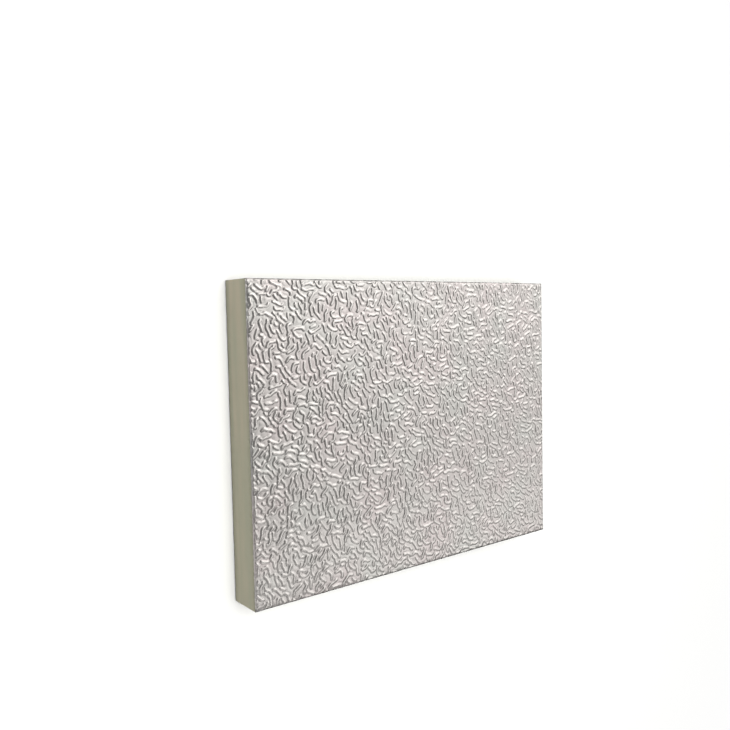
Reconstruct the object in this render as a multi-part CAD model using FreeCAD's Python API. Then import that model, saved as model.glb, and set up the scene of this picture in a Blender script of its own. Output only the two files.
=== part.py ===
"""Pre-insulated duct panel: a rigid foam board bonded between two embossed aluminium foils.

The panel lies flat on its back facing. +X runs along its length, +Y along its width and +Z up
through its thickness. The origin is the centre of its underside. Lengths are in millimetres.
"""

import FreeCAD
import Part

import math
import os

# Driving dimensions of the cut panel
LENGTH = 200.0
WIDTH = 150.0
THICKNESS = 20.0  # nominal board thickness, over both facings

# Facings: thin foil, rolled with an embossed relief before the foam is blown between the two
FOIL = 0.08
RELIEF = 0.32  # height of the embossing above the ground of the foil
FACING = FOIL + RELIEF  # thickness over the embossing, as a thickness gauge reads it

# Cut edges: the blade draws each foil down into the foam, in part of a round, as it passes
SHOULDER_RADIUS = 1.2
SHOULDER_TURN = math.radians(50.0)
SHOULDER_RUN = SHOULDER_RADIUS * math.sin(SHOULDER_TURN)
SHOULDER_DROP = SHOULDER_RADIUS * (1.0 - math.cos(SHOULDER_TURN))

PARTS_FOLDER = "parts"


def shoulder_arc(side, face, into):
    """Edge of a board's section where a face turns down towards a cut side.

    side is the signed distance of the cut side from the middle of the section, face is the height
    of the face, and into is the direction from that face into the board: -1 for the top, +1 for
    the underside.
    """
    outward = math.copysign(1.0, side)
    run_start = side - outward * SHOULDER_RUN
    half_turn = SHOULDER_TURN / 2.0
    middle_run = run_start + outward * SHOULDER_RADIUS * math.sin(half_turn)
    middle_drop = SHOULDER_RADIUS * (1.0 - math.cos(half_turn))
    return Part.Arc(
        FreeCAD.Vector(0.0, run_start, face),
        FreeCAD.Vector(0.0, middle_run, face + into * middle_drop),
        FreeCAD.Vector(0.0, side, face + into * SHOULDER_DROP),
    ).toShape()


def board_section(span, bottom, top):
    """Section of a board across its span, in the YZ plane, with shoulders at its four corners."""
    half = span / 2.0
    arcs = [
        shoulder_arc(half, bottom, +1),
        shoulder_arc(half, top, -1),
        shoulder_arc(-half, top, -1),
        shoulder_arc(-half, bottom, +1),
    ]
    low_right, high_right, high_left, low_left = arcs
    links = [
        (low_left.Vertexes[0], low_right.Vertexes[0]),
        (low_right.Vertexes[1], high_right.Vertexes[1]),
        (high_right.Vertexes[0], high_left.Vertexes[0]),
        (high_left.Vertexes[1], low_left.Vertexes[1]),
    ]
    lines = [Part.makeLine(start.Point, end.Point) for start, end in links]
    outline = Part.Wire(Part.__sortEdges__(arcs + lines))
    return Part.Face(outline)


def shouldered_board(bottom, top):
    """Board of the panel's length and width between two heights, with mitred shoulders all round.

    The section across the width runs the whole length, the section across the length runs the
    whole width, and what the two runs share has all eight shoulders.
    """
    across_width = board_section(WIDTH, bottom, top)
    across_width.translate(FreeCAD.Vector(-LENGTH / 2.0, 0.0, 0.0))
    long_run = across_width.extrude(FreeCAD.Vector(LENGTH, 0.0, 0.0))

    across_length = board_section(LENGTH, bottom, top)
    across_length.rotate(FreeCAD.Vector(0, 0, 0), FreeCAD.Vector(0, 0, 1), 90.0)
    across_length.translate(FreeCAD.Vector(0.0, -WIDTH / 2.0, 0.0))
    cross_run = across_length.extrude(FreeCAD.Vector(0.0, WIDTH, 0.0))

    return long_run.common(cross_run).Solids[0]


def facings(panel, core):
    """Back and front facing: what is left of the panel above and below its foam, lowest first."""
    foils = panel.cut(core).Solids
    return sorted(foils, key=lambda foil: foil.CenterOfMass.z)


def build():
    """Named solids of the panel."""
    panel = shouldered_board(0.0, THICKNESS)
    foam_core = shouldered_board(FACING, THICKNESS - FACING)
    back_facing, front_facing = facings(panel, foam_core)
    return {
        "foam_core": foam_core,
        "front_facing": front_facing,
        "back_facing": back_facing,
    }


def main():
    os.makedirs(PARTS_FOLDER, exist_ok=True)
    for name, solid in build().items():
        box = solid.BoundBox
        print(
            f"{name}: {box.XLength:.2f} x {box.YLength:.2f} x {box.ZLength:.2f} mm, "
            f"{solid.Volume:.1f} mm3, valid {solid.isValid()}, faces {len(solid.Faces)}"
        )
        solid.exportStep(os.path.join(PARTS_FOLDER, name + ".step"))


main()
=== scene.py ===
"""Looks of the pre-insulated duct panel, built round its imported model.

The panel lies on a pale floor with its front facing up. Two embossed aluminium foils, drawn down
over the cut edges, hold the foam board between them. Lengths are in metres.
"""

import logging
import math
from dataclasses import dataclass, field
from enum import Enum
from typing import Any

import bmesh
import bpy
import numpy as np
from bmesh.types import BMEdge, BMesh, BMVert
from bpy.types import Material, Node, NodeOutputs, NodeSocket, NodeTree, Object
from mathutils import Matrix, Vector


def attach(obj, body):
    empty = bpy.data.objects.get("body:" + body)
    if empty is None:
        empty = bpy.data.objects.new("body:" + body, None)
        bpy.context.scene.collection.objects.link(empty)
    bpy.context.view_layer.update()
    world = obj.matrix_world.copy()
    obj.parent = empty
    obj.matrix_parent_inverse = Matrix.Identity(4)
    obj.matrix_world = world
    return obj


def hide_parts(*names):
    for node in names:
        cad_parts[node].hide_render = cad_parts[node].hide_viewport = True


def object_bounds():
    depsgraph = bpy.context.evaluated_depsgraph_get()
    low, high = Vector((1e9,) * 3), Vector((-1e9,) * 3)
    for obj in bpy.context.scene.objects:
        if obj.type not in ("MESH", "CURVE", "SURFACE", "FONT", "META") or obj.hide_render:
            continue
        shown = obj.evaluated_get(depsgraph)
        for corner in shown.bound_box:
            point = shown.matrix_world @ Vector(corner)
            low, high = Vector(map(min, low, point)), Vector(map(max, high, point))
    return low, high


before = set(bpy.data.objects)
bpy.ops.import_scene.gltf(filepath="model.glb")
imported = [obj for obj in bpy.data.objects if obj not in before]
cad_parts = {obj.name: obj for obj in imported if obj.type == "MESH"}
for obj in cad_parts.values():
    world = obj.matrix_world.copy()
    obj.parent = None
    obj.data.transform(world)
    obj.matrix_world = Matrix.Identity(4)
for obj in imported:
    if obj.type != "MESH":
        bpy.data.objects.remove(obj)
cad_low, cad_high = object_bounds()

MM = 0.001
BODY = "root"
WHITE = (1.0, 1.0, 1.0, 1.0)
CORNERS = ((-1, -1), (1, -1), (1, 1), (-1, 1))  # of a rectangle, in order round it
SEAM = 0.001 * MM  # points closer than this are joined
FLAT_INSET = 3  # corners of a hidden flat face lie this many insets in from the rim

log = logging.getLogger("duct_panel")


def linear(hex_colour: str) -> tuple[float, float, float, float]:
    """Turns an sRGB hex colour into linear light.

    Args:
        hex_colour: A colour such as "#C8C2A4".

    Returns:
        Linear red, green and blue, and an alpha of 1.
    """
    shares = [int(hex_colour[place:place + 2], 16) / 255.0 for place in (1, 3, 5)]
    red, green, blue = [s / 12.92 if s <= 0.04045 else ((s + 0.055) / 1.055) ** 2.4 for s in shares]
    return red, green, blue, 1.0


def add_node(
    tree: NodeTree,
    kind: str,
    inputs: dict[int | str, Any] | None = None,
    **settings: Any,
) -> Node:
    """Adds a node to a tree, with its settings, values and links.

    Args:
        tree: The tree that gets the node.
        kind: Blender's name for the kind of node.
        inputs: What each input takes, by its name or place: a node for that node's first output, an
            output socket, or a value.
        settings: Properties of the node itself.

    Returns:
        The new node.
    """
    node = tree.nodes.new(kind)
    for name, setting in settings.items():
        setattr(node, name, setting)
    for place, value in (inputs or {}).items():
        if isinstance(value, Node):
            value = value.outputs[0]
        if isinstance(value, NodeSocket):
            tree.links.new(value, node.inputs[place])
        else:
            node.inputs[place].default_value = value
    return node


def new_material(name: str) -> tuple[Material, NodeTree]:
    """Starts a material.

    Args:
        name: Name of the material.

    Returns:
        The material, and its empty tree.
    """
    made = bpy.data.materials.new(name)
    made.use_nodes = True
    made.node_tree.nodes.clear()
    return made, made.node_tree


def new_shape_tree(
    name: str, inputs: dict[str, str], outputs: dict[str, str]
) -> tuple[NodeTree, NodeOutputs]:
    """Starts a Geometry Nodes tree.

    Args:
        name: Name of the tree.
        inputs: Kind of socket for each named input.
        outputs: Kind of socket for each named output.

    Returns:
        The tree, and the sockets that give its inputs.
    """
    tree = bpy.data.node_groups.new(name, "GeometryNodeTree")
    for label, kind in inputs.items():
        tree.interface.new_socket(label, in_out="INPUT", socket_type=kind)
    for label, kind in outputs.items():
        tree.interface.new_socket(label, in_out="OUTPUT", socket_type=kind)
    return tree, add_node(tree, "NodeGroupInput").outputs


def run_shape_tree(
    name: str, tree: NodeTree, values: dict[str, Any], kept_share: float = 1.0
) -> Object:
    """Runs a Geometry Nodes tree and keeps its result as a plain mesh.

    Args:
        name: Name of the new object.
        tree: The tree to run.
        values: A value for each of the tree's named inputs.
        kept_share: Share of the triangles that is kept, spent where the surface bends.

    Returns:
        The new object, at the origin, with no modifier left on it.
    """
    piece = bpy.data.objects.new(name, bpy.data.meshes.new(name))
    bpy.context.scene.collection.objects.link(piece)
    modifier = piece.modifiers.new(tree.name, "NODES")
    modifier.node_group = tree
    for item in tree.interface.items_tree:
        if item.in_out == "INPUT":
            modifier[item.identifier] = values[item.name]
    if kept_share < 1.0:
        piece.modifiers.new("fewer_triangles", "DECIMATE").ratio = kept_share
    graph = bpy.context.evaluated_depsgraph_get()
    made = bpy.data.meshes.new_from_object(piece.evaluated_get(graph))
    piece.modifiers.clear()
    piece.data = made
    return piece


def extrude_rim(shape: BMesh, rim: list[BMEdge]) -> tuple[set[BMVert], list[BMEdge]]:
    """Draws a new ring of faces out of a rim.

    Args:
        shape: The mesh being built.
        rim: The edges of the rim.

    Returns:
        The points and the edges of the ring's free end.
    """
    made = bmesh.ops.extrude_edge_only(shape, edges=rim)["geom"]
    points = {item for item in made if isinstance(item, BMVert)}
    edges = [item for item in made if isinstance(item, BMEdge) and set(item.verts) <= points]
    return points, edges


def close_rim(shape: BMesh, rim: list[BMEdge], half: Vector, inset: float, level: float) -> None:
    """Closes an open rim round the panel with a flat hidden face that starts a little inside it.

    Args:
        shape: The mesh being closed.
        rim: The edges of the open rim.
        half: Half the length and half the width of the panel.
        inset: How far inside the rim the flat face starts.
        level: Height of the flat face.
    """
    ring, ring_edges = extrude_rim(shape, rim)
    for vert in ring:
        vert.co = Vector((vert.co.x * (1 - inset / half.x), vert.co.y * (1 - inset / half.y), level))
    deep = half - FLAT_INSET * Vector((inset, inset))
    corners = {
        (across, along): shape.verts.new((across * deep.x, along * deep.y, level))
        for across, along in CORNERS
    }
    nearest = {}
    for edge in ring_edges:
        middle = (edge.verts[0].co + edge.verts[1].co) / 2
        nearest[edge] = corners[int(math.copysign(1, middle.x)), int(math.copysign(1, middle.y))]
        shape.faces.new((*edge.verts, nearest[edge]))
    for vert in sorted(ring, key=lambda item: item.index):
        ends = dict.fromkeys(nearest[edge] for edge in vert.link_edges if edge in nearest)
        if len(ends) == 2:
            shape.faces.new((vert, *ends))
    shape.faces.new(corners.values())


def finish_shape(piece: Object, shape: BMesh, creases: list[BMEdge]) -> None:
    """Writes a closed shape to its piece, with faces outwards and smooth but for its creases.

    Args:
        piece: The piece that gets the mesh.
        shape: The closed shape, which is freed.
        creases: Edges that stay crisp.
    """
    bmesh.ops.recalc_face_normals(shape, faces=shape.faces[:])
    for face in shape.faces:
        face.smooth = True
    for edge in creases:
        edge.smooth = False
    shape.to_mesh(piece.data)
    shape.free()
    piece.data.update()


def seat(piece: Object, node: str) -> None:
    """Puts a piece in the place of its solid and reports it.

    Args:
        piece: The finished piece.
        node: The solid that it stands for.
    """
    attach(piece, BODY)
    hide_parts(node)
    piece.data.calc_loop_triangles()
    log.info("%s: %d triangles", piece.name, len(piece.data.loop_triangles))


class Side(Enum):
    """Face of the panel that a foil covers. The value is the way that it faces along Z."""

    FRONT = 1
    BACK = -1


@dataclass(frozen=True)
class Board:
    """Sizes of the whole panel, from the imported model, and of its pressed foils."""

    length: float
    width: float
    thickness: float
    foil: float = 0.08 * MM
    relief: float = 0.32 * MM
    shoulder_radius: float = 1.2 * MM
    shoulder_turn: float = math.radians(50.0)

    @property
    def half(self) -> Vector:
        """Half the length and half the width."""
        return Vector((self.length / 2, self.width / 2))

    @property
    def middle(self) -> float:
        """Height of the middle of the board."""
        return self.thickness / 2

    @property
    def shoulder_run(self) -> float:
        """How far in from a cut edge the foil starts to turn down."""
        return self.shoulder_radius * math.sin(self.shoulder_turn)

    @property
    def bond(self) -> float:
        """Height of the glued underside of a foil over the middle of the board."""
        return self.middle - self.relief - self.foil


@dataclass
class StuccoPattern:
    """Random raised strokes that a stucco roll presses into foil, laid over one face of the panel.

    A stroke is a few short straight runs with bends between them. It sets out any way, but more often
    along the lean of the roll's engraving. Each stroke claims the ground round it, so that the next
    ones keep their distance. Long strokes come first, and short ones fill what is left.
    """

    board: Board
    seed: int
    pitch: float = 1.76 * MM
    pitch_spread: float = 0.16
    step: float = 0.3 * MM
    shortest: tuple[float, ...] = (4.8 * MM, 3.3 * MM, 2.0 * MM, 0.9 * MM)
    tries: tuple[int, ...] = (14000, 30000, 60000, 90000)
    goal_spread: float = 1.7
    lean: float = math.radians(-62.0)  # from +X
    lean_spread: float = 0.8  # radians, as all turns are
    fore_share: tuple[float, float] = (0.3, 0.7)  # of the stroke's length, ahead of its start
    run: tuple[float, float] = (1.0 * MM, 2.8 * MM)
    bend: tuple[float, float] = (0.6, 1.5)
    bend_per_step: float = 0.30
    tip: float = 0.3 * MM
    drift: float = 0.06
    swing_back: float = 0.85
    full_turn: float = 2.2
    margin: float = 6.0 * MM
    cell: float = 0.16 * MM
    random: np.random.Generator = field(init=False, repr=False)
    free: np.ndarray = field(init=False, repr=False)

    def lay(self) -> Object:
        """Lays the strokes and keeps their centre lines.

        Returns:
            A mesh object of edges along the centre lines, at a height of zero.
        """
        self.random = np.random.default_rng(self.seed)
        reach = self.board.half + Vector((self.margin, self.margin))
        self.free = np.ones((int(2 * reach.x / self.cell), int(2 * reach.y / self.cell)), bool)
        points, edges, count = [], [], 0
        for shortest, tries in zip(self.shortest, self.tries):
            for start in self.random.integers(0, self.free.size, tries):
                place = divmod(int(start), self.free.shape[1])
                if not self.free[place]:
                    continue
                stroke = self.grow(place, shortest * self.random.uniform(1.0, self.goal_spread))
                if (len(stroke) - 1) * self.step < shortest:
                    continue
                self.claim(stroke)
                first = len(points)
                points += [(x - reach.x, y - reach.y, 0.0) for x, y in stroke]
                edges += [(end - 1, end) for end in range(first + 1, len(points))]
                count += 1
        mesh = bpy.data.meshes.new("stroke_lines")
        mesh.from_pydata(points, edges, [])
        lines = bpy.data.objects.new("stroke_lines", mesh)
        bpy.context.scene.collection.objects.link(lines)
        log.info("stucco pattern %d: %d strokes", self.seed, count)
        return lines

    def grow(self, place: tuple[int, int], goal: float) -> list[tuple[float, float]]:
        """Grows one stroke both ways from a free place.

        Args:
            place: Cell that the stroke starts from.
            goal: Length that it stops at, if nothing stops it sooner.

        Returns:
            Points a step apart, from one end to the other.
        """
        start = ((place[0] + 0.5) * self.cell, (place[1] + 0.5) * self.cell)
        heading = self.random.normal(self.lean, self.lean_spread)
        fore = self.arm(start, heading, goal * self.random.uniform(*self.fore_share))
        aft = self.arm(start, heading + math.pi, goal - len(fore) * self.step)
        return aft[::-1] + [start] + fore

    def arm(
        self, start: tuple[float, float], heading: float, reach: float
    ) -> list[tuple[float, float]]:
        """Grows one arm of a stroke: straight runs, with a bend between each and the next.

        Args:
            start: Where the arm starts.
            heading: Direction that it sets out in.
            reach: Length that it stops at.

        Returns:
            Points a step apart, without the start.
        """
        x, y = start
        points = []
        run_left = self.random.uniform(*self.run)
        drift = self.random.normal(0, self.drift)
        hand = self.random.choice((-1.0, 1.0))
        bend_left = turned = 0.0
        for _ in range(int(reach / self.step)):
            run_left -= self.step
            if run_left <= 0:
                bend_left = hand * self.random.uniform(*self.bend)
                hand = -hand if self.random.random() < self.swing_back else hand
                run_left = self.random.uniform(*self.run)
                drift = self.random.normal(0, self.drift)
            turn = max(-self.bend_per_step, min(self.bend_per_step, bend_left))
            bend_left -= turn
            heading += turn + drift
            turned += turn + drift
            x += self.step * math.cos(heading)
            y += self.step * math.sin(heading)
            cell = (int(x / self.cell), int(y / self.cell))
            inside = 0 <= cell[0] < self.free.shape[0] and 0 <= cell[1] < self.free.shape[1]
            if abs(turned) > self.full_turn or not inside or not self.free[cell]:
                break
            points.append((x, y))
        return points

    def claim(self, stroke: list[tuple[float, float]]) -> None:
        """Marks the ground round a stroke as taken, but for its tips, which others may come close to.

        Args:
            stroke: The stroke's points.
        """
        tip = min(round(self.tip / self.step), (len(stroke) - 1) // 2)
        body = stroke[tip:len(stroke) - tip]
        reach = self.pitch * (1 + self.pitch_spread * self.random.uniform(-1, 1)) / self.cell
        span = np.arange(-int(reach), int(reach) + 1)
        across, along = np.meshgrid(span, span, indexing="ij")
        disc = across ** 2 + along ** 2 <= reach ** 2
        centres = (np.array(body) / self.cell).astype(int)
        rows = np.clip(centres[:, :1] + across[disc], 0, self.free.shape[0] - 1)
        columns = np.clip(centres[:, 1:] + along[disc], 0, self.free.shape[1] - 1)
        self.free[rows, columns] = False


@dataclass
class PressedSurface:
    """Outer surface of a pressed foil, as a height over the board's middle at each place.

    Near-flat ground with rounded ridges along the strokes, and a shoulder that turns down at the cut
    edges, where the blade irons the ridges flat.
    """

    board: Board
    crest: float = 0.28 * MM  # half the width of a ridge's top
    ridge_reach: float = 1.00 * MM  # half the width of its foot
    reach_spread: float = 0.22
    reach_patch: float = 4.0 * MM
    lowest_ridge: float = 0.7  # share of the relief
    ridge_noise: tuple[float, float] = (0.3, 0.6)  # noise at the lowest and the highest ridge
    ridge_patch: float = 3.2 * MM
    uneven: float = 0.7 * MM
    uneven_patch: float = 2.2 * MM
    pillow: float = 0.08 * MM
    pillow_reach: float = 0.6 * MM
    ground_wave: float = 0.06 * MM
    wave_patch: float = 3.5 * MM
    shoulder_spread: float = 0.4
    shoulder_patch: float = 5.0 * MM

    def values(self) -> dict[str, float]:
        """A value for each of the surface's named sizes."""
        return {
            "Length": self.board.length,
            "Width": self.board.width,
            "Half Thickness": self.board.middle,
            "Relief": self.board.relief,
            "Crest": self.crest,
            "Ridge Reach": self.ridge_reach,
            "Pillow": self.pillow,
            "Pillow Reach": self.pillow_reach,
            "Ground Wave": self.ground_wave,
            "Shoulder Radius": self.board.shoulder_radius,
            "Shoulder Run": self.board.shoulder_run,
        }

    def sockets(self) -> dict[str, str]:
        """The kind of socket for each of the surface's named sizes."""
        return {label: "NodeSocketFloat" for label in self.values()}

    def group(self) -> NodeTree:
        """Builds the node group that the pieces' trees ask for the height.

        Returns:
            The group. It takes the stroke lines, a place and the sizes, and gives the height.
        """
        inputs = {"Strokes": "NodeSocketGeometry", "Place": "NodeSocketVector"} | self.sockets()
        tree, given = new_shape_tree("pressed_surface", inputs, {"Height": "NodeSocketFloat"})
        flat = add_node(
            tree,
            "ShaderNodeVectorMath",
            {0: given["Place"], 1: (1.0, 1.0, 0.0)},
            operation="MULTIPLY",
        )
        ground = add_node(
            tree,
            "ShaderNodeMath",
            {0: given["Half Thickness"], 1: given["Relief"]},
            operation="SUBTRACT",
        )
        from_edge = self.edge_distance(tree, given, flat)
        ironed = add_node(
            tree,
            "ShaderNodeMapRange",
            {"Value": from_edge, "From Max": given["Shoulder Run"]},
            interpolation_type="SMOOTHSTEP",
        )
        ridge = self.ridge(tree, given, flat)
        raised = add_node(
            tree, "ShaderNodeMath", {0: ridge, 1: ironed, 2: ground}, operation="MULTIPLY_ADD"
        )
        waved = add_node(
            tree, "ShaderNodeMath", {0: raised, 1: self.wave(tree, given, flat)}, operation="SUBTRACT"
        )
        fall = self.shoulder(tree, given, flat, from_edge)
        drawn = add_node(tree, "ShaderNodeMath", {0: waved, 1: fall}, operation="SUBTRACT")
        add_node(tree, "NodeGroupOutput", {"Height": drawn})
        return tree

    def edge_distance(self, tree: NodeTree, given: NodeOutputs, flat: Node) -> Node:
        """Adds the nodes for the distance to the nearest cut edge.

        Args:
            tree: The group.
            given: Its inputs.
            flat: Place on the face.

        Returns:
            The node that gives the distance.
        """
        size = add_node(tree, "ShaderNodeCombineXYZ", {"X": given["Length"], "Y": given["Width"]})
        half = add_node(
            tree, "ShaderNodeVectorMath", {0: size, 1: (0.5, 0.5, 0.0)}, operation="MULTIPLY"
        )
        from_middle = add_node(tree, "ShaderNodeVectorMath", {0: flat}, operation="ABSOLUTE")
        from_edges = add_node(
            tree, "ShaderNodeVectorMath", {0: half, 1: from_middle}, operation="SUBTRACT"
        )
        apart = add_node(tree, "ShaderNodeSeparateXYZ", {0: from_edges}).outputs
        return add_node(tree, "ShaderNodeMath", {0: apart["X"], 1: apart["Y"]}, operation="MINIMUM")

    def ridge(self, tree: NodeTree, given: NodeOutputs, flat: Node) -> Node:
        """Adds the nodes for the nearest stroke's rounded ridge and the ground that swells beside it.

        Args:
            tree: The group.
            given: Its inputs.
            flat: Place on the face.

        Returns:
            The node that gives the height.
        """
        wander = add_node(tree, "ShaderNodeTexNoise", {"Vector": flat, "Scale": 1 / self.uneven_patch})
        uneven = add_node(
            tree,
            "ShaderNodeVectorMath",
            {0: wander.outputs["Color"], 1: (self.uneven, self.uneven, 0.0), 2: flat},
            operation="MULTIPLY_ADD",
        )
        distance = add_node(
            tree,
            "GeometryNodeProximity",
            {"Geometry": given["Strokes"], "Sample Position": uneven},
            target_element="EDGES",
        ).outputs["Distance"]
        patch = add_node(tree, "ShaderNodeTexNoise", {"Vector": flat, "Scale": 1 / self.reach_patch})
        share = add_node(
            tree,
            "ShaderNodeMapRange",
            {"Value": patch, "To Min": 1 - self.reach_spread, "To Max": 1 + self.reach_spread},
        )
        reach = add_node(
            tree, "ShaderNodeMath", {0: given["Ridge Reach"], 1: share}, operation="MULTIPLY"
        )
        ridge = add_node(
            tree,
            "ShaderNodeMapRange",
            {
                "Value": distance,
                "From Min": given["Crest"],
                "From Max": reach,
                "To Min": self.crest_height(tree, given, flat),
                "To Max": 0.0,
            },
            interpolation_type="SMOOTHSTEP",
        )
        far = add_node(tree, "ShaderNodeMath", {0: reach, 1: given["Pillow Reach"]}, operation="ADD")
        swell = add_node(
            tree,
            "ShaderNodeMapRange",
            {"Value": distance, "From Min": reach, "From Max": far, "To Max": given["Pillow"]},
            interpolation_type="SMOOTHSTEP",
        )
        return add_node(tree, "ShaderNodeMath", {0: ridge, 1: swell}, operation="ADD")

    def crest_height(self, tree: NodeTree, given: NodeOutputs, flat: Node) -> Node:
        """Adds the nodes for how high the ridges are pressed, which changes along a stroke.

        Args:
            tree: The group.
            given: Its inputs.
            flat: Place on the face.

        Returns:
            The node that gives the height of the crest.
        """
        patch = add_node(tree, "ShaderNodeTexNoise", {"Vector": flat, "Scale": 1 / self.ridge_patch})
        low, high = self.ridge_noise
        share = add_node(
            tree,
            "ShaderNodeMapRange",
            {"Value": patch, "From Min": low, "From Max": high, "To Min": self.lowest_ridge},
            interpolation_type="SMOOTHSTEP",
        )
        return add_node(tree, "ShaderNodeMath", {0: given["Relief"], 1: share}, operation="MULTIPLY")

    def wave(self, tree: NodeTree, given: NodeOutputs, flat: Node) -> Node:
        """Adds the nodes for the gentle waves that the foil takes from the foam under it.

        Args:
            tree: The group.
            given: Its inputs.
            flat: Place on the face.

        Returns:
            The node that gives the depth below flat ground.
        """
        patch = add_node(tree, "ShaderNodeTexNoise", {"Vector": flat, "Scale": 1 / self.wave_patch})
        return add_node(
            tree, "ShaderNodeMath", {0: patch, 1: given["Ground Wave"]}, operation="MULTIPLY"
        )

    def shoulder(
        self,
        tree: NodeTree,
        given: NodeOutputs,
        flat: Node,
        from_edge: Node,
    ) -> Node:
        """Adds the nodes for the depth that the foil is drawn down to, in part of a round.

        Args:
            tree: The group.
            given: Its inputs.
            flat: Place on the face.
            from_edge: Distance to the nearest cut edge.

        Returns:
            The node that gives the depth.
        """
        patch = add_node(
            tree, "ShaderNodeTexNoise", {"Vector": flat, "Scale": 1 / self.shoulder_patch}
        )
        share = add_node(
            tree,
            "ShaderNodeMapRange",
            {"Value": patch, "To Min": 1 - self.shoulder_spread, "To Max": 1 + self.shoulder_spread},
        )
        run = add_node(
            tree, "ShaderNodeMath", {0: given["Shoulder Run"], 1: share}, operation="MULTIPLY"
        )
        over = add_node(tree, "ShaderNodeMath", {0: run, 1: from_edge}, operation="SUBTRACT")
        sine = add_node(
            tree,
            "ShaderNodeMath",
            {0: over, 1: given["Shoulder Radius"]},
            operation="DIVIDE",
            use_clamp=True,
        )
        turn = add_node(tree, "ShaderNodeMath", {0: sine}, operation="ARCSINE")
        cosine = add_node(tree, "ShaderNodeMath", {0: turn}, operation="COSINE")
        fall = add_node(tree, "ShaderNodeMath", {0: 1.0, 1: cosine}, operation="SUBTRACT")
        return add_node(
            tree, "ShaderNodeMath", {0: fall, 1: given["Shoulder Radius"]}, operation="MULTIPLY"
        )


@dataclass(frozen=True)
class StuccoFoilFinish:
    """Mill aluminium foil with a thin clear lacquer, pressed between stucco rolls.

    To the eye it is a satin metal. The lacquer spreads each highlight, more so towards the near edge,
    where it lies thicker. The crests, which the roll has burnished, are brighter than the ground, and
    this brighter crest colour is also a painted highlight on the ridge tops. Slow patches lean to a
    warmer or a cooler grey.
    """

    board: Board
    warm: str = "#DED5D2"
    cool: str = "#D9D7D2"
    # crest colour: partly the roll's burnish, partly a painted highlight on the ridge tops
    crest: str = "#F2EDE8"
    burnish_and_highlight_from: float = 0.4  # share of the relief
    burnish_and_highlight_to: float = 0.9
    patch: float = 22.0 * MM
    tone_noise: tuple[float, float] = (0.35, 0.65)  # noise at the cool and the warm tone
    grain: float = 0.8 * MM  # rolled grain is finer, and is drawn this coarse to show
    grain_detail: float = 3.0
    grain_depth: float = 0.004 * MM
    grain_rough: float = 0.06
    near_rough: float = 0.21
    far_rough: float = 0.12

    def material(self) -> Material:
        """Builds the material.

        Returns:
            The finished material.
        """
        made, tree = new_material("lacquered_stucco_aluminium")
        place = add_node(tree, "ShaderNodeTexCoord").outputs["Object"]
        apart = add_node(tree, "ShaderNodeSeparateXYZ", {0: place}).outputs
        over = add_node(
            tree, "ShaderNodeMath", {0: apart["Z"], 1: self.board.middle}, operation="SUBTRACT"
        )
        out = add_node(tree, "ShaderNodeMath", {0: over}, operation="ABSOLUTE")
        # towards the ridge tops the colour brightens to the crest colour: burnish and a painted
        # highlight
        ground_level = self.board.middle - self.board.relief
        burnish_and_highlight = add_node(
            tree,
            "ShaderNodeMapRange",
            {
                "Value": out,
                "From Min": ground_level + self.burnish_and_highlight_from * self.board.relief,
                "From Max": ground_level + self.burnish_and_highlight_to * self.board.relief,
            },
            interpolation_type="SMOOTHSTEP",
        )
        patch = add_node(tree, "ShaderNodeTexNoise", {"Vector": place, "Scale": 1 / self.patch})
        cool, warm = self.tone_noise
        lean = add_node(
            tree, "ShaderNodeMapRange", {"Value": patch, "From Min": cool, "From Max": warm}
        )
        ground = add_node(
            tree,
            "ShaderNodeMix",
            {0: lean, 6: linear(self.cool), 7: linear(self.warm)},
            data_type="RGBA",
        ).outputs[2]
        colour = add_node(
            tree, "ShaderNodeMix", {0: burnish_and_highlight, 6: ground, 7: linear(self.crest)}, data_type="RGBA"
        ).outputs[2]
        grain = add_node(
            tree,
            "ShaderNodeTexNoise",
            {"Vector": place, "Scale": 1 / self.grain, "Detail": self.grain_detail},
        )
        lacquer = add_node(
            tree,
            "ShaderNodeMapRange",
            {
                "Value": apart["Y"],
                "From Min": -self.board.half.y,
                "From Max": self.board.half.y,
                "To Min": self.near_rough,
                "To Max": self.far_rough,
            },
        )
        rough = add_node(
            tree,
            "ShaderNodeMath",
            {0: grain, 1: self.grain_rough, 2: lacquer},
            operation="MULTIPLY_ADD",
        )
        bump = add_node(tree, "ShaderNodeBump", {"Height": grain, "Distance": self.grain_depth})
        shader = add_node(
            tree,
            "ShaderNodeBsdfPrincipled",
            {"Base Color": colour, "Metallic": 1.0, "Roughness": rough, "Normal": bump},
        )
        add_node(tree, "ShaderNodeOutputMaterial", {"Surface": shader})
        return made


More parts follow.
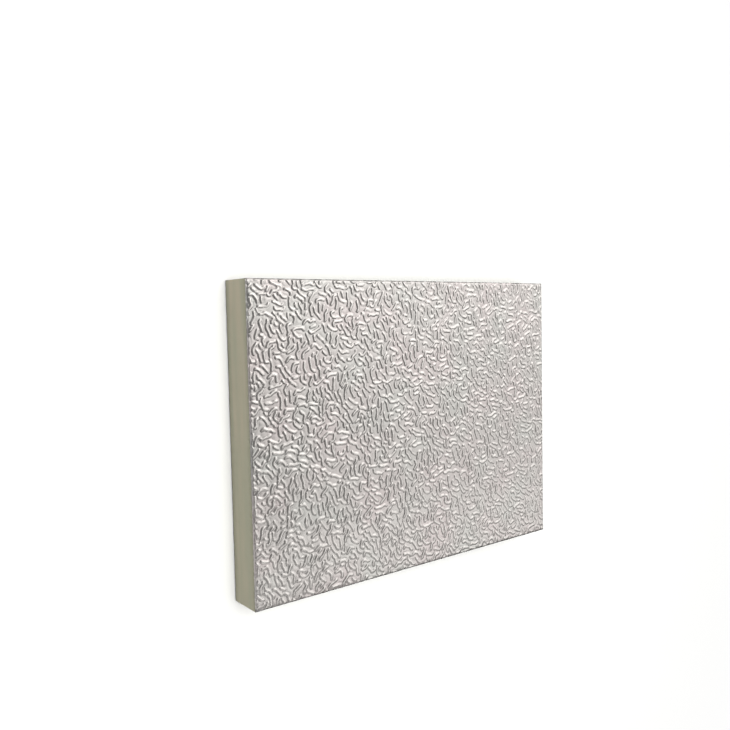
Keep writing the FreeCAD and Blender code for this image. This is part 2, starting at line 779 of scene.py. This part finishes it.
@dataclass(frozen=True)
class SawnFoamFinish:
    """Rigid closed-cell polyisocyanurate-type foam, sawn across.

    To the eye it is matt and creamy, with long faint bands of a greener tone that lie along the board
    as it rose between the foils, and it is darker and greener in a band beside each foil.
    """

    board: Board
    cream: str = "#ABA38F"
    green: str = "#9E9D89"
    # tone within a band beside each foil, darker and greener than the bulk
    foil_band_tone: str = "#91907D"
    band: float = 6.0 * MM
    band_length: float = 55.0 * MM
    tone_noise: tuple[float, float] = (0.35, 0.65)  # noise at the creamy and the green tone
    foil_band: float = 4.5 * MM
    cell: float = 0.6 * MM  # cells are finer, and are drawn this coarse to show
    cell_depth: float = 0.03 * MM
    cell_strength: float = 0.5
    roughness: float = 0.92

    def material(self) -> Material:
        """Builds the material.

        Returns:
            The finished material.
        """
        made, tree = new_material("sawn_rigid_foam")
        place = add_node(tree, "ShaderNodeTexCoord").outputs["Object"]
        along = 1 / self.band_length
        layers = add_node(
            tree, "ShaderNodeMapping", {"Vector": place, "Scale": (along, along, 1 / self.band)}
        )
        bands = add_node(tree, "ShaderNodeTexNoise", {"Vector": layers, "Scale": 1.0})
        creamy, green = self.tone_noise
        lean = add_node(
            tree, "ShaderNodeMapRange", {"Value": bands, "From Min": creamy, "From Max": green}
        )
        bulk = add_node(
            tree,
            "ShaderNodeMix",
            {0: lean, 6: linear(self.cream), 7: linear(self.green)},
            data_type="RGBA",
        ).outputs[2]
        height = add_node(tree, "ShaderNodeSeparateXYZ", {0: place}).outputs["Z"]
        over = add_node(tree, "ShaderNodeMath", {0: height, 1: self.board.middle}, operation="SUBTRACT")
        out = add_node(tree, "ShaderNodeMath", {0: over}, operation="ABSOLUTE")
        # darker and greener over a band a few millimetres wide beside each foil
        foil_band = add_node(
            tree,
            "ShaderNodeMapRange",
            {"Value": out, "From Min": self.board.bond - self.foil_band, "From Max": self.board.bond},
            interpolation_type="SMOOTHSTEP",
        )
        colour = add_node(
            tree, "ShaderNodeMix", {0: foil_band, 6: bulk, 7: linear(self.foil_band_tone)}, data_type="RGBA"
        ).outputs[2]
        cells = add_node(tree, "ShaderNodeTexVoronoi", {"Vector": place, "Scale": 1 / self.cell})
        bump = add_node(
            tree,
            "ShaderNodeBump",
            {"Height": cells, "Distance": self.cell_depth, "Strength": self.cell_strength},
        )
        shader = add_node(
            tree,
            "ShaderNodeBsdfPrincipled",
            {"Base Color": colour, "Roughness": self.roughness, "Normal": bump},
        )
        add_node(tree, "ShaderNodeOutputMaterial", {"Surface": shader})
        return made


@dataclass
class EmbossedFacing:
    """One facing of the panel: thin foil pressed all over and drawn down over the cut edges."""

    board: Board
    side: Side
    node: str
    seed: int
    slot: str = "embossed_foil"
    cell: float = 0.2 * MM
    triangles: int = 186_000
    hem: float = 1.3 * MM

    def build(
        self,
        surface: PressedSurface,
        height: NodeTree,
        lines: Object,
        finish: Material,
    ) -> None:
        """Builds the foil and puts it in its solid's place.

        Args:
            surface: The pressed surface and its sizes.
            height: The group that gives the surface's height.
            lines: Centre lines of this face's strokes.
            finish: The foil's material.
        """
        columns = round(self.board.length / self.cell)
        rows = round(self.board.width / self.cell)
        values = surface.values() | {
            "Strokes": lines,
            "Columns": columns + 1,
            "Rows": rows + 1,
            "Facing": float(self.side.value),
            "Finish": finish,
        }
        kept_share = self.triangles / (2 * columns * rows)
        foil = run_shape_tree(self.node + "_foil", self.tree(surface, height), values, kept_share)
        self.close(foil)
        seat(foil, self.node)

    def tree(self, surface: PressedSurface, height: NodeTree) -> NodeTree:
        """Builds the tree that presses a flat sheet.

        Args:
            surface: The pressed surface, for its named sizes.
            height: The group that gives the surface's height.

        Returns:
            The tree.
        """
        inputs = surface.sockets() | {
            "Strokes": "NodeSocketObject",
            "Columns": "NodeSocketInt",
            "Rows": "NodeSocketInt",
            "Facing": "NodeSocketFloat",
            "Finish": "NodeSocketMaterial",
        }
        tree, given = new_shape_tree("pressed_foil", inputs, {"Foil": "NodeSocketGeometry"})
        sheet = add_node(
            tree,
            "GeometryNodeMeshGrid",
            {
                "Size X": given["Length"],
                "Size Y": given["Width"],
                "Vertices X": given["Columns"],
                "Vertices Y": given["Rows"],
            },
        )
        lines = add_node(tree, "GeometryNodeObjectInfo", {"Object": given["Strokes"]})
        place = add_node(tree, "GeometryNodeInputPosition")
        sizes = {label: given[label] for label in surface.sockets()}
        over = add_node(
            tree,
            "GeometryNodeGroup",
            {"Strokes": lines.outputs["Geometry"], "Place": place} | sizes,
            node_tree=height,
        )
        up = add_node(
            tree,
            "ShaderNodeMath",
            {0: over, 1: given["Facing"], 2: given["Half Thickness"]},
            operation="MULTIPLY_ADD",
        )
        lift = add_node(tree, "ShaderNodeCombineXYZ", {"Z": up})
        pressed = add_node(tree, "GeometryNodeSetPosition", {"Geometry": sheet, "Offset": lift})
        real = add_node(tree, "GeometryNodeRealizeInstances", {"Geometry": pressed})
        dressed = add_node(
            tree, "GeometryNodeSetMaterial", {"Geometry": real, "Material": given["Finish"]}
        )
        add_node(tree, "NodeGroupOutput", {"Foil": dressed})
        return tree

    def close(self, foil: Object) -> None:
        """Gives the foil its thickness at the cut edges and closes its glued underside.

        Args:
            foil: The pressed sheet.
        """
        half = self.board.half
        shape = bmesh.new()
        shape.from_mesh(foil.data)
        rim = [edge for edge in shape.edges if edge.is_boundary]
        for vert in {vert for edge in rim for vert in edge.verts}:
            if half.x - abs(vert.co.x) < half.y - abs(vert.co.y):
                vert.co.x = math.copysign(half.x, vert.co.x)
            else:
                vert.co.y = math.copysign(half.y, vert.co.y)
        low_verts, low_rim = extrude_rim(shape, rim)
        for vert in low_verts:
            vert.co.z -= self.side.value * self.board.foil
        level = self.board.middle + self.side.value * self.board.bond
        close_rim(shape, low_rim, half, self.hem, level)
        finish_shape(foil, shape, rim + low_rim)


@dataclass
class FoamBoard:
    """The rigid foam board: four sawn sides, which the foils' waves cap at top and bottom."""

    board: Board
    node: str = "foam_core"
    slot: str = "foam"
    column: float = 0.5 * MM
    rows: int = 40
    inset: float = 0.035 * MM
    tuck: float = 0.05 * MM
    tear: float = 0.06 * MM
    tear_patch: float = 1.4 * MM
    hem: float = 1.3 * MM

    def build(
        self,
        surface: PressedSurface,
        height: NodeTree,
        lines: dict[Side, Object],
        finish: Material,
    ) -> None:
        """Builds the board and puts it in its solid's place.

        Args:
            surface: The pressed surface and its sizes.
            height: The group that gives the surface's height.
            lines: Centre lines of the strokes on each face.
            finish: The foam's material.
        """
        values = surface.values() | {
            "Front Strokes": lines[Side.FRONT],
            "Back Strokes": lines[Side.BACK],
            "Columns": round(2 * (self.board.length + self.board.width) / self.column) + 1,
            "Rows": self.rows + 1,
            "Inset": self.inset,
            "Tuck": self.tuck,
            "Tear": self.tear,
            "Finish": finish,
        }
        foam = run_shape_tree(self.node + "_board", self.tree(surface, height), values)
        self.close(foam)
        seat(foam, self.node)

    def tree(self, surface: PressedSurface, height: NodeTree) -> NodeTree:
        """Builds the tree that runs a sawn wall round the panel, between the two foils.

        Args:
            surface: The pressed surface, for its named sizes.
            height: The group that gives the surface's height.

        Returns:
            The tree.
        """
        inputs = surface.sockets() | {
            "Front Strokes": "NodeSocketObject",
            "Back Strokes": "NodeSocketObject",
            "Columns": "NodeSocketInt",
            "Rows": "NodeSocketInt",
            "Inset": "NodeSocketFloat",
            "Tuck": "NodeSocketFloat",
            "Tear": "NodeSocketFloat",
            "Finish": "NodeSocketMaterial",
        }
        tree, given = new_shape_tree("sawn_foam", inputs, {"Foam": "NodeSocketGeometry"})
        sheet = add_node(
            tree,
            "GeometryNodeMeshGrid",
            {"Vertices X": given["Columns"], "Vertices Y": given["Rows"]},
        )
        start = add_node(tree, "GeometryNodeInputPosition")
        shares = add_node(
            tree, "ShaderNodeVectorMath", {0: start, 1: (0.5, 0.5, 0.0)}, operation="ADD"
        )
        share = add_node(tree, "ShaderNodeSeparateXYZ", {0: shares}).outputs
        outline = add_node(
            tree,
            "GeometryNodeCurvePrimitiveQuadrilateral",
            {"Width": given["Length"], "Height": given["Width"]},
        )
        round_panel = add_node(
            tree, "GeometryNodeSampleCurve", {"Curves": outline, "Factor": share["X"]}, mode="FACTOR"
        ).outputs["Position"]
        sizes = {label: given[label] for label in surface.sockets()}
        levels = []
        for label, side in (("Back Strokes", Side.BACK), ("Front Strokes", Side.FRONT)):
            lines = add_node(tree, "GeometryNodeObjectInfo", {"Object": given[label]})
            over = add_node(
                tree,
                "GeometryNodeGroup",
                {"Strokes": lines.outputs["Geometry"], "Place": round_panel} | sizes,
                node_tree=height,
            )
            tucked = add_node(tree, "ShaderNodeMath", {0: over, 1: given["Tuck"]}, operation="SUBTRACT")
            level = add_node(
                tree,
                "ShaderNodeMath",
                {0: tucked, 1: float(side.value), 2: given["Half Thickness"]},
                operation="MULTIPLY_ADD",
            )
            levels.append(level)
        up = add_node(
            tree, "ShaderNodeMapRange", {"Value": share["Y"], "To Min": levels[0], "To Max": levels[1]}
        )
        lift = add_node(tree, "ShaderNodeCombineXYZ", {"Z": up})
        wall = add_node(tree, "ShaderNodeVectorMath", {0: round_panel, 1: lift}, operation="ADD")
        torn = add_node(tree, "ShaderNodeTexNoise", {"Vector": wall, "Scale": 1 / self.tear_patch})
        depth = add_node(
            tree,
            "ShaderNodeMath",
            {0: torn, 1: given["Tear"], 2: given["Inset"]},
            operation="MULTIPLY_ADD",
        )
        size = add_node(
            tree, "ShaderNodeCombineXYZ", {"X": given["Length"], "Y": given["Width"], "Z": 1.0}
        )
        half = add_node(
            tree, "ShaderNodeVectorMath", {0: size, 1: (0.5, 0.5, 1.0)}, operation="MULTIPLY"
        )
        inward = add_node(tree, "ShaderNodeVectorMath", {0: round_panel, 1: half}, operation="DIVIDE")
        backed = add_node(
            tree, "ShaderNodeVectorMath", {0: inward, "Scale": depth}, operation="SCALE"
        )
        cut = add_node(tree, "ShaderNodeVectorMath", {0: wall, 1: backed}, operation="SUBTRACT")
        moved = add_node(tree, "GeometryNodeSetPosition", {"Geometry": sheet, "Position": cut})
        joined = add_node(tree, "GeometryNodeMergeByDistance", {"Geometry": moved, "Distance": SEAM})
        real = add_node(tree, "GeometryNodeRealizeInstances", {"Geometry": joined})
        dressed = add_node(
            tree, "GeometryNodeSetMaterial", {"Geometry": real, "Material": given["Finish"]}
        )
        add_node(tree, "NodeGroupOutput", {"Foam": dressed})
        return tree

    def close(self, foam: Object) -> None:
        """Closes the wall with the two faces that are glued to the foils.

        Args:
            foam: The sawn wall.
        """
        shape = bmesh.new()
        shape.from_mesh(foam.data)
        rim = [edge for edge in shape.edges if edge.is_boundary]
        for side in Side:
            edges = [
                edge for edge in rim if (edge.verts[0].co.z - self.board.middle) * side.value > 0
            ]
            level = self.board.middle + side.value * self.board.bond
            close_rim(shape, edges, self.board.half, self.hem, level)
        corners = [edge for edge in shape.edges if self.at_corner(edge)]
        finish_shape(foam, shape, rim + corners)

    def at_corner(self, edge: BMEdge) -> bool:
        """Tells whether an edge runs up a corner of the board.

        Args:
            edge: The edge.

        Returns:
            True where both ends are at the same corner.
        """
        near = 2 * (self.inset + self.tear)
        half = self.board.half
        return all(
            half.x - abs(vert.co.x) < near and half.y - abs(vert.co.y) < near for vert in edge.verts
        )


@dataclass(frozen=True)
class Sweep:
    """How the light of the studio dome changes along one axis.

    Each stop is the cosine of an angle away from the axis, and the share of light there.
    """

    axis: tuple[float, float, float]
    stops: tuple[tuple[float, float], ...]

    @property
    def brightest(self) -> float:
        """The largest share of light."""
        return max(share for _, share in self.stops)

    def shade(self, tree: NodeTree, direction: NodeSocket) -> Node:
        """Adds the nodes for the sweep.

        Args:
            tree: The world's tree.
            direction: Direction that is looked in.

        Returns:
            The node that gives the light as a part of the brightest.
        """
        axis = Vector(self.axis).normalized()
        along = add_node(
            tree, "ShaderNodeVectorMath", {0: direction, 1: axis}, operation="DOT_PRODUCT"
        ).outputs["Value"]
        place = add_node(tree, "ShaderNodeMapRange", {"Value": along, "From Min": -1.0})
        ramp = add_node(tree, "ShaderNodeValToRGB", {"Fac": place})
        marks = ramp.color_ramp.elements
        while len(marks) < len(self.stops):
            marks.new(1.0)
        for mark, (cosine, share) in zip(marks, self.stops):
            mark.position = (cosine + 1) / 2
            mark.color = (*[share / self.brightest] * 3, 1.0)
        return ramp


@dataclass(frozen=True)
class Studio:
    """Pale floor, soft light and the camera that looks down on the panel."""

    lens: float = 36.882
    sensor: float = 36.0
    place: Vector = Vector((-259.57, 55.72, 312.17)) * MM
    aim: Vector = Vector((-35.28, 33.30, 20.0)) * MM
    up: Vector = Vector((0.0538, 0.9979, -0.0353))
    near_clip: float = 10.0 * MM
    floor_reach: float = 0.9
    floor_colour: str = "#F4F4F2"
    floor_rough: float = 0.95
    floor_gloss: float = 0.2
    floor_fibre: float = 1.2 * MM
    floor_tooth: float = 0.01 * MM
    floor_fade: tuple[float, float] = (0.22, 0.55)  # from the middle, where white starts and is full
    along: Sweep = Sweep(
        (0.85, 0.0, -0.53),
        (
            (-0.98, 0.14), (-0.50, 0.13), (-0.36, 0.17), (-0.24, 0.28), (-0.14, 0.52),
            (-0.06, 0.75), (0.02, 0.86), (0.10, 0.88), (0.20, 0.87), (0.33, 0.79),
            (0.42, 0.82), (0.52, 0.82), (0.65, 0.74), (0.85, 0.55),
        ),
    )
    across: Sweep = Sweep(
        (-0.05, 1.0, 0.42),
        (
            (-0.85, 0.30), (-0.60, 0.40), (-0.45, 0.35), (-0.33, 0.22), (-0.22, 0.17),
            (-0.14, 0.28), (-0.08, 0.65), (-0.03, 1.10), (0.02, 1.14), (0.08, 0.98),
            (0.16, 0.97), (0.24, 1.10), (0.32, 1.24), (0.40, 1.50), (0.50, 1.85),
            (0.58, 1.75), (0.68, 1.30), (0.90, 1.00),
        ),
    )
    above: Sweep = Sweep((0.0, 0.0, 1.0), ((-0.20, 0.05), (0.05, 0.25), (0.25, 0.85), (0.40, 1.0)))
    behind: Sweep = Sweep((-0.64, 0.64, 0.42), ((0.75, 1.0), (0.95, 3.5)))
    corner: Sweep = Sweep(
        (-0.65, -0.75, 0.12), ((0.20, 1.0), (0.45, 1.9), (0.70, 3.0), (0.82, 3.0), (0.93, 8.0))
    )
    lamp_power: float = 28.0
    lamp_size: float = 1.4
    lamp_place: Vector = Vector((-0.40, 0.20, 1.6))
    card_power: float = 0.06
    card_length: float = 0.8
    card_height: float = 0.11
    card_place: Vector = Vector((0.1, -0.085, 0.085))
    card_turn: float = math.radians(90.0)  # stands it upright, facing the panel

    def build(self) -> None:
        """Builds floor, light and camera."""
        self.build_floor()
        self.build_dome()
        self.build_lamp()
        self.build_card()
        self.build_camera()

    def build_floor(self) -> None:
        """Lays matt pale paper, which is a soft even white with the faintest tooth from its fibres.

        Away from the panel it is lit up to the white of the background, so that its edge doesn't show.
        """
        mesh = bpy.data.meshes.new("floor")
        reach = self.floor_reach
        corners = [(x * reach, y * reach, 0.0) for x, y in CORNERS]
        mesh.from_pydata(corners, [], [tuple(range(len(CORNERS)))])
        floor = bpy.data.objects.new("floor", mesh)
        bpy.context.scene.collection.objects.link(floor)
        made, tree = new_material("matt_paper")
        place = add_node(tree, "ShaderNodeTexCoord").outputs["Object"]
        fibres = add_node(tree, "ShaderNodeTexNoise", {"Vector": place, "Scale": 1 / self.floor_fibre})
        tooth = add_node(tree, "ShaderNodeBump", {"Height": fibres, "Distance": self.floor_tooth})
        shader = add_node(
            tree,
            "ShaderNodeBsdfPrincipled",
            {
                "Base Color": linear(self.floor_colour),
                "Roughness": self.floor_rough,
                "Specular IOR Level": self.floor_gloss,
                "Normal": tooth,
            },
        )
        away = add_node(tree, "ShaderNodeVectorMath", {0: place}, operation="LENGTH").outputs["Value"]
        near, far = self.floor_fade
        share = add_node(tree, "ShaderNodeMapRange", {"Value": away, "From Min": near, "From Max": far})
        white = add_node(tree, "ShaderNodeEmission", {"Color": WHITE, "Strength": 1.0})
        lit = add_node(tree, "ShaderNodeMixShader", {0: share, 1: shader, 2: white})
        add_node(tree, "ShaderNodeOutputMaterial", {"Surface": lit})
        mesh.materials.append(made)
        floor.visible_glossy = False

    def build_dome(self) -> None:
        """Lights the panel from a dome, bright beyond the far end and dark over the end by the camera.

        A second dark band lies low beyond the near edge, and darkens the flanks that face that way.
        Two bright patches behind the camera keep the foil bright when it is seen from the far end.
        """
        world = bpy.data.worlds.new("studio_dome")
        bpy.context.scene.world = world
        world.use_nodes = True
        tree = world.node_tree
        tree.nodes.clear()
        direction = add_node(tree, "ShaderNodeTexCoord").outputs["Generated"]
        brightest = 1.0
        light = WHITE[:3]
        for sweep in (self.along, self.across, self.above, self.behind, self.corner):
            shades = {0: light, 1: sweep.shade(tree, direction)}
            light = add_node(tree, "ShaderNodeVectorMath", shades, operation="MULTIPLY")
            brightest *= sweep.brightest
        soft = add_node(tree, "ShaderNodeBackground", {"Color": light, "Strength": brightest})
        pale = add_node(tree, "ShaderNodeBackground", {"Color": WHITE, "Strength": 1.0})
        seen = add_node(tree, "ShaderNodeLightPath").outputs["Is Camera Ray"]
        mixed = add_node(tree, "ShaderNodeMixShader", {0: seen, 1: soft, 2: pale})
        add_node(tree, "ShaderNodeOutputWorld", {"Surface": mixed})

    def build_lamp(self) -> None:
        """Hangs a wide soft lamp over the floor. It lights matt things and stays out of the foil."""
        light = bpy.data.lights.new("overhead", "AREA")
        light.energy = self.lamp_power
        light.size = self.lamp_size
        lamp = bpy.data.objects.new("overhead", light)
        lamp.location = self.lamp_place
        lamp.visible_glossy = False
        bpy.context.scene.collection.objects.link(lamp)

    def build_card(self) -> None:
        """Stands a low glowing card along the near edge, which only the foil mirrors."""
        light = bpy.data.lights.new("near_card", "AREA")
        light.shape = "RECTANGLE"
        light.energy = self.card_power
        light.size = self.card_length
        light.size_y = self.card_height
        card = bpy.data.objects.new("near_card", light)
        card.location = self.card_place
        card.rotation_euler.x = self.card_turn
        card.visible_camera = False
        card.visible_diffuse = False
        bpy.context.scene.collection.objects.link(card)

    def build_camera(self) -> None:
        """Stands the camera over the left end of the panel, turned so that its width runs upright."""
        camera = bpy.data.cameras.new("camera")
        camera.lens = self.lens
        camera.sensor_width = self.sensor
        camera.clip_start = self.near_clip
        back = (self.place - self.aim).normalized()
        right = self.up.cross(back).normalized()
        turn = Matrix((right, back.cross(right), back)).transposed()
        stand = bpy.data.objects.new("camera", camera)
        stand.matrix_world = Matrix.Translation(self.place) @ turn.to_4x4()
        bpy.context.scene.collection.objects.link(stand)
        bpy.context.scene.camera = stand
        bpy.context.scene.view_settings.view_transform = "Standard"


def main() -> None:
    """Builds the panel and the studio round it."""
    logging.basicConfig(level=logging.INFO, format="%(message)s")
    size = cad_high - cad_low
    board = Board(size.x, size.y, size.z)
    surface = PressedSurface(board)
    height = surface.group()
    facings = [
        EmbossedFacing(board, Side.FRONT, "front_facing", seed=11),
        EmbossedFacing(board, Side.BACK, "back_facing", seed=23),
    ]
    lines = {facing.side: StuccoPattern(board, facing.seed).lay() for facing in facings}
    foil = StuccoFoilFinish(board).material()
    for facing in facings:
        facing.build(surface, height, lines[facing.side], foil)
    FoamBoard(board).build(surface, height, lines, SawnFoamFinish(board).material())
    for guide in lines.values():
        bpy.data.objects.remove(guide)
    Studio().build()


if __name__ == "__main__":
    main()
